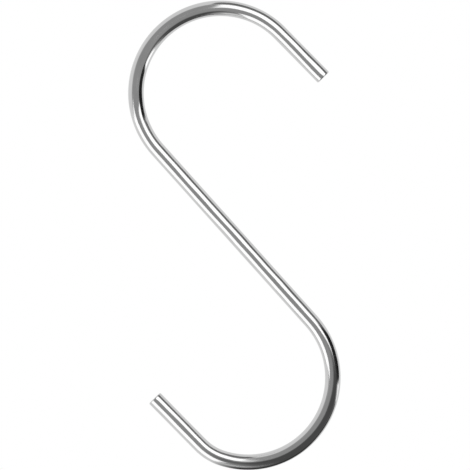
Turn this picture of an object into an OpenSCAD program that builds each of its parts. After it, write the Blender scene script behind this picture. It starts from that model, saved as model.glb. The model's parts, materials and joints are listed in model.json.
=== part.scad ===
// S hook: one length of round wire, bent into two open hooks that face opposite ways.
//
// It hangs in the XZ plane, +Z up, and reads as an S when seen along +Y. The origin is on the inside
// of the upper bend at its crown, where the hook sits on its rail. The lower bend is straight below
// the upper one, as a load pulls it, so the shank between them leans.

/* [Wire] */
// Diameter of the round wire
wire_d = 4; // [2:0.5:6]
// Radius of the worn edge round each cut end
end_round = 0.3; // [0.1:0.05:0.8]

/* [Hook] */
// Height from the top of the upper bend to the bottom of the lower bend
overall_h = 120; // [110:1:200]

/* [Upper hook] */
// Inside diameter of the bend that goes over the rail
upper_id = 39.2; // [20:0.2:44]
// Angle past the bend's highest point at which it tightens into the nose
upper_nose_at = 23; // [0:0.5:60]
// Angle that the wire turns through in the nose
upper_nose_turn = 28; // [5:0.5:60]
// Inside radius of the nose
upper_nose_r = 18.6; // [5:0.1:22]
// Length of the straight end after the nose
upper_leg = 16; // [5:0.1:40]

/* [Lower hook] */
// Inside diameter of the bend that carries the load
lower_id = 39.2; // [20:0.2:44]
// Angle past the bend's lowest point at which it tightens into the nose
lower_nose_at = 23.5; // [0:0.5:60]
// Angle that the wire turns through in the nose
lower_nose_turn = 27.5; // [5:0.5:60]
// Inside radius of the nose
lower_nose_r = 11.5; // [5:0.1:22]
// Length of the straight end after the nose
lower_leg = 16.7; // [5:0.1:40]

/* [Hidden] */
$fn = 96;

// The wire is bent in metres and then brought up to size: at that scale the ends of its straight and
// bent lengths meet without a step.
m = 1000;

wire_r = wire_d / 2;
// Radii of the wire's centreline round each bend
upper_r = upper_id / 2 + wire_r;
lower_r = lower_id / 2 + wire_r;
// Distance between the centres of the two bends
centres = overall_h - upper_r - lower_r - wire_d;
// The shank touches both bends and crosses between them: its lean from upright, and its length
lean = asin((upper_r + lower_r) / centres);
shank = centres * cos(lean);
// Angle that the wire turns through from the shank to a bend's highest or lowest point
half_way = 90 + lean;

// A straight length of wire along X, with what follows it at its far end
module straight(length) {
    rotate([0, 90, 0]) cylinder(r = wire_r / m, h = length / m);
    translate([length / m, 0, 0]) children();
}

// A length of wire that sets off along X and turns to its right, with what follows it at its far end
module bend(r, turn) {
    translate([0, -r / m, 0]) {
        rotate_extrude(angle = -turn, start = 90)
            translate([r / m, 0]) circle(r = wire_r / m);
        rotate(-turn) translate([0, r / m, 0]) children();
    }
}

// The last of the wire: cut square across, with the cut's edge worn round
module cut_end() {
    flat_r = (wire_r - end_round) / m;
    depth = end_round / m;
    rotate([0, 90, 0]) rotate_extrude() {
        square([flat_r, depth]);
        intersection() {
            translate([flat_r, 0]) circle(r = depth);
            square([wire_r / m, depth]);
        }
    }
}

// The wire from the end of the shank to its own end: the bend, the tighter nose and the straight end
module open_hook(r, nose_at, nose_turn, nose_r, leg) {
    bend(r, half_way + nose_at)
        bend(nose_r + wire_r, nose_turn)
            straight(leg - end_round)
                cut_end();
}

// The whole wire, laid out along the shank from the upper bend down to the lower one
module wire() {
    straight(shank) open_hook(lower_r, lower_nose_at, lower_nose_turn, lower_nose_r, lower_leg);
    rotate(180) open_hook(upper_r, upper_nose_at, upper_nose_turn, upper_nose_r, upper_leg);
}

module hook() {
    color("silver")
        translate([0, 0, -upper_id / 2])
            scale(m)
                rotate([90, 0, 0])
                    rotate(lean - 90) translate([0, -upper_r / m, 0]) wire();
}

hook();
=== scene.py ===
import json
import math

import bmesh
import bpy
from mathutils import Matrix, Vector


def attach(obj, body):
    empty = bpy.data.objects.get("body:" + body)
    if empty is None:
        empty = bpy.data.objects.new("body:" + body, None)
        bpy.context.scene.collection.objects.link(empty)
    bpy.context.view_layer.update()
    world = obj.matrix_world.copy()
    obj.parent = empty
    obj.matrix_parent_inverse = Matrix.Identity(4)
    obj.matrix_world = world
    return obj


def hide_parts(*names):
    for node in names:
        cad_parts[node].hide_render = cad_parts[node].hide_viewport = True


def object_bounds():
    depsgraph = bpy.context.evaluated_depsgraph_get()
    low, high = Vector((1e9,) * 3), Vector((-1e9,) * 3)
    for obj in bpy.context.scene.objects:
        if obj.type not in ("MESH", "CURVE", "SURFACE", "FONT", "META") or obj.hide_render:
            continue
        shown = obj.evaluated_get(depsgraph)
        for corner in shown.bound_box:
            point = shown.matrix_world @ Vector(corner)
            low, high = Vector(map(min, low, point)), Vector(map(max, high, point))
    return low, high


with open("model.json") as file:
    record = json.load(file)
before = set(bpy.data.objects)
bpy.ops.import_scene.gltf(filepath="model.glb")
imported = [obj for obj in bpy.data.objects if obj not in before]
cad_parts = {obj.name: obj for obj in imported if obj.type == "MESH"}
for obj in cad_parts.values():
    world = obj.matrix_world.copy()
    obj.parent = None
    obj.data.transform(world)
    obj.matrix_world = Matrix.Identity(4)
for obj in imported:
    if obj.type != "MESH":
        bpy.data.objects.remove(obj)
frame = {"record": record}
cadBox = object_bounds()
mounts = {mount["name"]: mount for mount in frame["record"]["mounts"]}
mm = 0.001
white = (1, 1, 1, 1)
scene = bpy.context.scene
print("frame loaded")


camera = {
    "lens": 450,                      # mm: a long lens, which sees the hook square on
    "sensor": 36,                     # mm
    "viewWidth": 119.76 * mm,         # what the view takes in across, at the hook
    "lean": math.radians(5.5),        # to its right, so the hook's top stands to the left
    "aimRight": 0.15 * mm,            # from the middle of the shank
    "aimUp": 0.07 * mm,
    "clip": (0.01, 20),               # the nearest and farthest that it sees
}
railSeat = Vector(mounts["rail_seat"]["pos_m"])
loadSeat = Vector(mounts["load_seat"]["pos_m"])
shankMiddle = (railSeat + loadSeat) / 2

# The studio's axes are the camera's: right, away from the lens, up.
studio = Matrix.Rotation(camera["lean"], 3, "Y")
aim = shankMiddle + studio @ Vector((camera["aimRight"], 0, camera["aimUp"]))


def placeCamera():
    data = bpy.data.cameras.new("camera")
    data.lens = camera["lens"]
    data.sensor_width = camera["sensor"]
    data.clip_start, data.clip_end = camera["clip"]
    distance = camera["viewWidth"] * camera["lens"] / camera["sensor"]
    place = Matrix.Translation(aim - Vector((0, distance, 0)))
    lookAlongY = Matrix.Rotation(math.pi / 2, 3, "X")
    made = bpy.data.objects.new("camera", data)
    made.matrix_world = place @ (studio @ lookAlongY).to_4x4()
    scene.collection.objects.link(made)
    scene.camera = made


placeCamera()
scene.view_settings.view_transform = "Standard"
print("camera placed")


def newMaterial(name):
    made = bpy.data.materials.new(name)
    made.use_nodes = True
    made.node_tree.nodes.clear()
    return made, made.node_tree.nodes, made.node_tree.links


def newMetal(name):
    # A bare metal, and each point's place on the wire before it was bent: X runs along the wire.
    made, nodes, links = newMaterial(name)
    metal = nodes.new("ShaderNodeBsdfPrincipled")
    metal.inputs["Metallic"].default_value = 1
    output = nodes.new("ShaderNodeOutputMaterial")
    links.new(metal.outputs["BSDF"], output.inputs["Surface"])
    place = nodes.new("ShaderNodeAttribute")
    place.attribute_name = "straightWire"
    return made, nodes, links, metal, place.outputs["Vector"]


def addNoise(nodes, links, source, stretch, detail):
    # A noise pattern on the coordinates of source, about as many to the metre as stretch says.
    mapping = nodes.new("ShaderNodeMapping")
    mapping.inputs["Scale"].default_value = stretch
    noise = nodes.new("ShaderNodeTexNoise")
    noise.inputs["Scale"].default_value = 1
    noise.inputs["Detail"].default_value = detail
    links.new(source, mapping.inputs["Vector"])
    links.new(mapping.outputs["Vector"], noise.inputs["Vector"])
    return noise.outputs["Fac"]


noiseLow, noiseHigh = 0.3, 0.7        # most of a noise pattern's values lie between these


def addRange(nodes, links, source, low, high):
    # Spreads a noise pattern from low to high.
    ramp = nodes.new("ShaderNodeMapRange")
    ramp.inputs["From Min"].default_value = noiseLow
    ramp.inputs["From Max"].default_value = noiseHigh
    ramp.inputs["To Min"].default_value = low
    ramp.inputs["To Max"].default_value = high
    links.new(source, ramp.inputs["Value"])
    return ramp.outputs["Result"]


def addTone(nodes, links, source, colours):
    tone = nodes.new("ShaderNodeMix")
    tone.data_type = "RGBA"
    tone.inputs["A"].default_value = colours["dull"]
    tone.inputs["B"].default_value = colours["pale"]
    links.new(addRange(nodes, links, source, 0, 1), tone.inputs["Factor"])
    return tone.outputs["Result"]


def addBump(nodes, links, height, distance, normal=None):
    bump = nodes.new("ShaderNodeBump")
    bump.inputs["Distance"].default_value = distance
    links.new(height, bump.inputs["Height"])
    if normal:
        links.new(normal, bump.inputs["Normal"])
    return bump.outputs["Normal"]


brightSteel = {
    "pale": (0.60, 0.60, 0.60, 1),
    "dull": (0.55, 0.55, 0.55, 1),
    "roughness": (0.08, 0.14),
    # Patterns: how many to the metre along and across the wire, then their detail.
    "lines": ((60, 4000, 4000), 3),
    "ripple": ((80, 160, 160), 1),
    "clouds": ((160, 500, 500), 4),
    "lineDepth": 0.0003 * mm,         # the die's fine lines along the wire
    "rippleHeight": 0.35 * mm,        # the slow ripple that bending leaves
}


def makeBrightSteel():
    material, nodes, links, steel, along = newMetal("brightSteel")
    lines = addNoise(nodes, links, along, *brightSteel["lines"])
    ripple = addNoise(nodes, links, along, *brightSteel["ripple"])
    clouds = addNoise(nodes, links, along, *brightSteel["clouds"])
    links.new(addTone(nodes, links, clouds, brightSteel), steel.inputs["Base Color"])
    links.new(addRange(nodes, links, clouds, *brightSteel["roughness"]), steel.inputs["Roughness"])
    rippled = addBump(nodes, links, ripple, brightSteel["rippleHeight"])
    links.new(addBump(nodes, links, lines, brightSteel["lineDepth"], rippled), steel.inputs["Normal"])
    return material


cutSteel = {
    "pale": (0.60, 0.60, 0.60, 1),
    "dull": (0.34, 0.34, 0.34, 1),
    "roughness": (0.30, 0.48),
    "marks": ((1, 2600, 350), 3),     # how many to the metre, then their detail
    "markHeight": 0.03 * mm,          # grinding marks across the cut
}


def makeCutSteel():
    material, nodes, links, steel, along = newMetal("cutSteel")
    marks = addNoise(nodes, links, along, *cutSteel["marks"])
    links.new(addTone(nodes, links, marks, cutSteel), steel.inputs["Base Color"])
    links.new(addRange(nodes, links, marks, *cutSteel["roughness"]), steel.inputs["Roughness"])
    links.new(addBump(nodes, links, marks, cutSteel["markHeight"]), steel.inputs["Normal"])
    return material


wire = {
    "sides": 72,                      # round the wire
    "bendStep": math.radians(0.75),   # along a bend
    "straightStep": 1.0 * mm,         # along a straight
    "edgeRound": 0.3 * mm,            # the worn edge of a cut end
    "edgeSteps": 6,
}
brightSlot, cutSlot = 0, 1            # the mesh's two materials


def hookRoute(seatName, endName):
    # Centres, turns and lengths from the middle of the shank to the wire's end.
    # They are all worked out from two mounts.
    seat, end = mounts[seatName], mounts[endName]
    wireRadius = end["dims"]["r_mm"] * mm
    insideRadius = seat["dims"]["r_mm"] * mm
    bendRadius = insideRadius + wireRadius
    bendCentre = Vector(seat["pos_m"]) + Vector(seat["axis"]) * insideRadius

    toCentre = bendCentre - shankMiddle
    lean = math.asin(bendRadius / toCentre.length)
    shankWay = Matrix.Rotation(-lean, 3, "Y") @ toCentre.normalized()
    halfShank = toCentre.length * math.cos(lean)

    quarterTurn = Matrix.Rotation(math.pi / 2, 3, "Y")
    legWay = Vector(end["axis"])
    legLength = end["dims"]["length_mm"] * mm
    legStart = Vector(end["pos_m"]) - legWay * legLength / 2
    inward = quarterTurn @ legWay
    fromCentre = legStart - bendCentre
    gap = bendRadius**2 - fromCentre.length_squared
    noseRadius = gap / 2 / (fromCentre.dot(inward) + bendRadius)
    noseCentre = legStart + inward * noseRadius
    noseWay = quarterTurn @ (noseCentre - bendCentre).normalized()

    def turned(fromWay, toWay):
        return math.atan2(fromWay.cross(toWay).y, fromWay.dot(toWay)) % math.tau

    return {
        "wireRadius": wireRadius,
        "shankWay": shankWay,
        "halfShank": halfShank,
        "bendCentre": bendCentre,
        "bendTurn": turned(shankWay, noseWay),
        "noseCentre": noseCentre,
        "noseTurn": turned(noseWay, legWay),
        "legWay": legWay,
        "legLength": legLength,
    }


def nextRing(bm, ring, along):
    # Extrudes the open end of the tube and returns its new edges and points.
    made = bmesh.ops.extrude_edge_only(bm, edges=ring)["geom"]
    points = [item for item in made if isinstance(item, bmesh.types.BMVert)]
    edges = [item for item in made if isinstance(item, bmesh.types.BMEdge)]
    place = bm.verts.layers.float_vector["straightWire"]
    for point in points:
        point[place] += Vector((along, 0, 0))
    return edges, points


def ringMiddle(ring):
    ends = [point.co for edge in ring for point in edge.verts]
    return sum(ends, Vector()) / len(ends)


def drawStraight(bm, ring, way, length, sign):
    steps = math.ceil(length / wire["straightStep"])
    for _ in range(steps):
        ring, points = nextRing(bm, ring, sign * length / steps)
        bmesh.ops.translate(bm, verts=points, vec=way * length / steps)
    return ring


def drawBend(bm, ring, centre, turn, sign):
    radius = (ringMiddle(ring) - centre).length
    steps = math.ceil(turn / wire["bendStep"])
    step = Matrix.Rotation(turn / steps, 3, "Y")
    for _ in range(steps):
        ring, points = nextRing(bm, ring, sign * radius * turn / steps)
        bmesh.ops.rotate(bm, verts=points, cent=centre, matrix=step)
    return ring


def drawCutEnd(bm, ring, way, wireRadius, sign):
    place = bm.verts.layers.float_vector["straightWire"]
    edge, radius, depth = wire["edgeRound"], wireRadius, 0
    for step in range(1, wire["edgeSteps"] + 1):
        angle = math.pi / 2 * step / wire["edgeSteps"]
        newRadius = wireRadius - edge * (1 - math.cos(angle))
        newDepth = edge * math.sin(angle)
        ring, points = nextRing(bm, ring, sign * (newDepth - depth))
        middle = ringMiddle(ring)
        for point in points:
            point.co = middle + (point.co - middle) * newRadius / radius + way * (newDepth - depth)
            point[place].yz *= newRadius / radius
        radius, depth = newRadius, newDepth
    bmesh.ops.edgeloop_fill(bm, edges=ring, mat_nr=cutSlot)


def bendWire():
    upper = hookRoute("rail_seat", "upper_end")
    lower = hookRoute("load_seat", "lower_end")
    bm = bmesh.new()
    place = bm.verts.layers.float_vector.new("straightWire")
    circle = bmesh.ops.create_circle(bm, segments=wire["sides"], radius=lower["wireRadius"])
    points = circle["verts"]
    for point in points:
        point[place] = Vector((0, point.co.x, point.co.y))
    squareTo = Vector((0, 0, 1)).rotation_difference(lower["shankWay"]).to_matrix()
    bmesh.ops.rotate(bm, verts=points, cent=(0, 0, 0), matrix=squareTo)
    bmesh.ops.translate(bm, verts=points, vec=shankMiddle)

    # Both halves start from the middle of the shank.
    start = list(bm.edges)
    for route, sign in ((lower, 1), (upper, -1)):
        ring = drawStraight(bm, start, route["shankWay"], route["halfShank"], sign)
        ring = drawBend(bm, ring, route["bendCentre"], route["bendTurn"], sign)
        ring = drawBend(bm, ring, route["noseCentre"], route["noseTurn"], sign)
        ring = drawStraight(bm, ring, route["legWay"], route["legLength"], sign)
        drawCutEnd(bm, ring, route["legWay"], route["wireRadius"], sign)
    bmesh.ops.recalc_face_normals(bm, faces=bm.faces)
    for face in bm.faces:
        face.smooth = face.material_index == brightSlot

    mesh = bpy.data.meshes.new("bentWire")
    bm.to_mesh(mesh)
    bm.free()
    mesh.materials.append(makeBrightSteel())
    mesh.materials.append(makeCutSteel())
    made = bpy.data.objects.new("bentWire", mesh)
    scene.collection.objects.link(made)
    return made


bentWire = bendWire()
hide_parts("hook")
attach(bentWire, "root")
print("wire bent:", len(bentWire.data.polygons), "faces")


def reflectedOnly(made):
    # The hook shows it, and nothing else does.
    made.visible_camera = False
    made.visible_diffuse = False
    made.visible_shadow = False
    made.visible_transmission = False
    made.visible_volume_scatter = False


def facingMatrix(azimuth, tilt, distance):
    # Faces the aim from a place set by its way round the lens and its angle away from it.
    azimuth, tilt = math.radians(azimuth), math.radians(tilt)
    toLens = Vector((0, -1, 0))
    sideways = Vector((math.cos(azimuth), 0, math.sin(azimuth)))
    ray = toLens * math.cos(tilt) + sideways * math.sin(tilt)
    outward = sideways * math.cos(tilt) - toLens * math.sin(tilt)
    axes = Matrix((ray.cross(outward), outward, ray)).transposed()
    return Matrix.Translation(aim + studio @ ray * distance) @ (studio @ axes).to_4x4()


def placeMatrix(right, back, up, rise):
    # At a place set from the aim, in the studio's axes, and turned up by rise degrees.
    turn = Matrix.Rotation(math.radians(rise), 3, "X")
    return Matrix.Translation(aim + studio @ Vector((right, back, up))) @ (studio @ turn).to_4x4()


def addSmoothStep(nodes, links, source, fromValue, toValue):
    # 0 at fromValue and 1 at toValue, with a soft step between.
    step = nodes.new("ShaderNodeMapRange")
    step.interpolation_type = "SMOOTHSTEP"
    step.inputs["From Min"].default_value = fromValue
    step.inputs["From Max"].default_value = toValue
    links.new(source, step.inputs["Value"])
    return step.outputs["Result"]


def addCardEdge(nodes, links, coordinate, size, soft):
    distance = nodes.new("ShaderNodeMath")
    distance.operation = "ABSOLUTE"
    links.new(coordinate, distance.inputs[0])
    outer, inner = (size + soft) / 2, (size - soft) / 2
    return addSmoothStep(nodes, links, distance.outputs["Value"], outer, inner)


def hangCard(name, matrix, width, height, soft, brightness):
    bm = bmesh.new()
    bmesh.ops.create_grid(bm, x_segments=1, y_segments=1, size=0.5)
    bmesh.ops.scale(bm, verts=bm.verts, vec=(width + soft, height + soft, 1))
    mesh = bpy.data.meshes.new(name)
    bm.to_mesh(mesh)
    bm.free()

    material, nodes, links = newMaterial(name)
    glow = nodes.new("ShaderNodeEmission")
    glow.inputs["Color"].default_value = white
    glow.inputs["Strength"].default_value = brightness
    clear = nodes.new("ShaderNodeBsdfTransparent")
    mix = nodes.new("ShaderNodeMixShader")
    output = nodes.new("ShaderNodeOutputMaterial")
    place = nodes.new("ShaderNodeTexCoord")
    split = nodes.new("ShaderNodeSeparateXYZ")
    both = nodes.new("ShaderNodeMath")
    both.operation = "MULTIPLY"
    links.new(place.outputs["Object"], split.inputs["Vector"])
    links.new(addCardEdge(nodes, links, split.outputs["X"], width, soft), both.inputs[0])
    links.new(addCardEdge(nodes, links, split.outputs["Y"], height, soft), both.inputs[1])
    links.new(both.outputs["Value"], mix.inputs["Fac"])
    links.new(clear.outputs["BSDF"], mix.inputs[1])
    links.new(glow.outputs["Emission"], mix.inputs[2])
    links.new(mix.outputs["Shader"], output.inputs["Surface"])
    mesh.materials.append(material)

    made = bpy.data.objects.new(name, mesh)
    made.matrix_world = matrix
    scene.collection.objects.link(made)
    reflectedOnly(made)


def spanCard(fromAzimuth, toAzimuth, fromTilt, toTilt, distance):
    # The place and the size of a card that fills a span round the lens and away from it.
    azimuth, tilt = (fromAzimuth + toAzimuth) / 2, (fromTilt + toTilt) / 2
    across = (toAzimuth - fromAzimuth) / 2 * math.sin(math.radians(tilt))
    away = (toTilt - fromTilt) / 2
    width, height = (2 * distance * math.tan(math.radians(half)) for half in (across, away))
    return facingMatrix(azimuth, tilt, distance), width, height


# The cards that the wire mirrors. Angles are in degrees: azimuth runs anticlockwise round the
# lens from its right, and tilt is the angle away from the lens.
walls = {
    # Square on to the lens: distance; then size, soft edge, brightness.
    "wall":      (1.50, 6.40, 2.80, 0.41),
}
spans = {
    # Facing the hook: from and to azimuth, from and to tilt, distance; then soft edge, brightness.
    "boxBelow":  (188, 253, 40, 85, 1.00, 0.03, 1.80),
    "darkRight": (-12, 28, 43, 101, 0.32, 0.03, 0.02),
    "greyRight": (25, 95, 62, 92, 0.60, 0.03, 0.20),
    "darkBelow": (268, 343, 24, 93, 0.11, 0.06, 0.10),
    "whiteEdge": (328, 352, 66, 100, 1.20, 0.03, 1.90),
}
uprights = {
    # Standing square to the lens: right, back, up; then width, height, soft edge, brightness.
    "boxAbove":  (0.50, -0.90, 0.62, 1.00, 0.98, 0.05, 1.90),
}
boards = {
    # Lying flat: right, back, up; then width, depth, soft edge, brightness.
    "table":     (0.07, 0.012, -0.08, 0.16, 0.035, 0.02, 0.05),
}
upright, flat = 90, 0                 # rise of each kind, in degrees


for name, (distance, size, soft, brightness) in walls.items():
    hangCard(name, facingMatrix(0, 0, distance), size, size, soft, brightness)
for name, settings in spans.items():
    hangCard(name, *spanCard(*settings[:5]), *settings[5:])
for name, settings in uprights.items():
    hangCard(name, placeMatrix(*settings[:3], upright), *settings[3:])
for name, settings in boards.items():
    hangCard(name, placeMatrix(*settings[:3], flat), *settings[3:])
print("cards hung")


room = {
    "seen": 1.0,                      # brightness of the white room for the lens and the metal
    "soft": 0.6,                      # and for everything else
}


def lightWorld():
    made = bpy.data.worlds.new("studio")
    scene.world = made
    made.use_nodes = True
    nodes, links = made.node_tree.nodes, made.node_tree.links
    nodes.clear()
    seen = nodes.new("ShaderNodeBackground")
    seen.inputs["Color"].default_value = white
    seen.inputs["Strength"].default_value = room["seen"]
    soft = nodes.new("ShaderNodeBackground")
    soft.inputs["Color"].default_value = white
    soft.inputs["Strength"].default_value = room["soft"]
    path = nodes.new("ShaderNodeLightPath")
    lensOrMetal = nodes.new("ShaderNodeMath")
    lensOrMetal.operation = "MAXIMUM"
    orGlass = nodes.new("ShaderNodeMath")
    orGlass.operation = "MAXIMUM"
    mix = nodes.new("ShaderNodeMixShader")
    output = nodes.new("ShaderNodeOutputWorld")
    links.new(path.outputs["Is Camera Ray"], lensOrMetal.inputs[0])
    links.new(path.outputs["Is Glossy Ray"], lensOrMetal.inputs[1])
    links.new(lensOrMetal.outputs["Value"], orGlass.inputs[0])
    links.new(path.outputs["Is Transmission Ray"], orGlass.inputs[1])
    links.new(orGlass.outputs["Value"], mix.inputs["Fac"])
    links.new(soft.outputs["Background"], mix.inputs[1])
    links.new(seen.outputs["Background"], mix.inputs[2])
    links.new(mix.outputs["Shader"], output.inputs["Surface"])


lamps = {
    # Azimuth, tilt, distance; then width, height, watts.
    "key":  (60, 62, 1.2, 0.30, 0.30, 8.5),
    "fill": (220, 40, 1.2, 0.60, 0.60, 4.0),
}


def hangLamp(name, azimuth, tilt, distance, width, height, watts):
    # The metal mirrors the cards, so it doesn't show the lamps.
    data = bpy.data.lights.new(name, "AREA")
    data.shape = "RECTANGLE"
    data.size, data.size_y = width, height
    data.energy = watts
    made = bpy.data.objects.new(name, data)
    made.matrix_world = facingMatrix(azimuth, tilt, distance)
    made.visible_camera = False
    made.visible_glossy = False
    scene.collection.objects.link(made)


floor = {
    "drop": 30 * mm,                  # below the hook
    "radius": 0.45,
    "plain": 0.28,                    # it fades out from this radius to its edge
    "sides": 128,
    "colour": (0.9, 0.9, 0.9, 1),
}


def layFloor():
    bm = bmesh.new()
    bmesh.ops.create_circle(bm, cap_ends=True, segments=floor["sides"], radius=floor["radius"])
    mesh = bpy.data.meshes.new("floor")
    bm.to_mesh(mesh)
    bm.free()
    material, nodes, links = newMaterial("floor")
    pale = nodes.new("ShaderNodeBsdfDiffuse")
    pale.inputs["Color"].default_value = floor["colour"]
    clear = nodes.new("ShaderNodeBsdfTransparent")
    mix = nodes.new("ShaderNodeMixShader")
    output = nodes.new("ShaderNodeOutputMaterial")
    place = nodes.new("ShaderNodeTexCoord")
    fromMiddle = nodes.new("ShaderNodeVectorMath")
    fromMiddle.operation = "LENGTH"
    links.new(place.outputs["Object"], fromMiddle.inputs[0])
    middleOut = fromMiddle.outputs["Value"]
    solid = addSmoothStep(nodes, links, middleOut, floor["radius"], floor["plain"])
    links.new(solid, mix.inputs["Fac"])
    links.new(clear.outputs["BSDF"], mix.inputs[1])
    links.new(pale.outputs["BSDF"], mix.inputs[2])
    links.new(mix.outputs["Shader"], output.inputs["Surface"])
    mesh.materials.append(material)
    made = bpy.data.objects.new("floor", mesh)
    made.location = (0, 0, cadBox[0][2] - floor["drop"])
    made.visible_glossy = False
    scene.collection.objects.link(made)


lightWorld()
for name, settings in lamps.items():
    hangLamp(name, *settings)
layFloor()
print("studio set up")
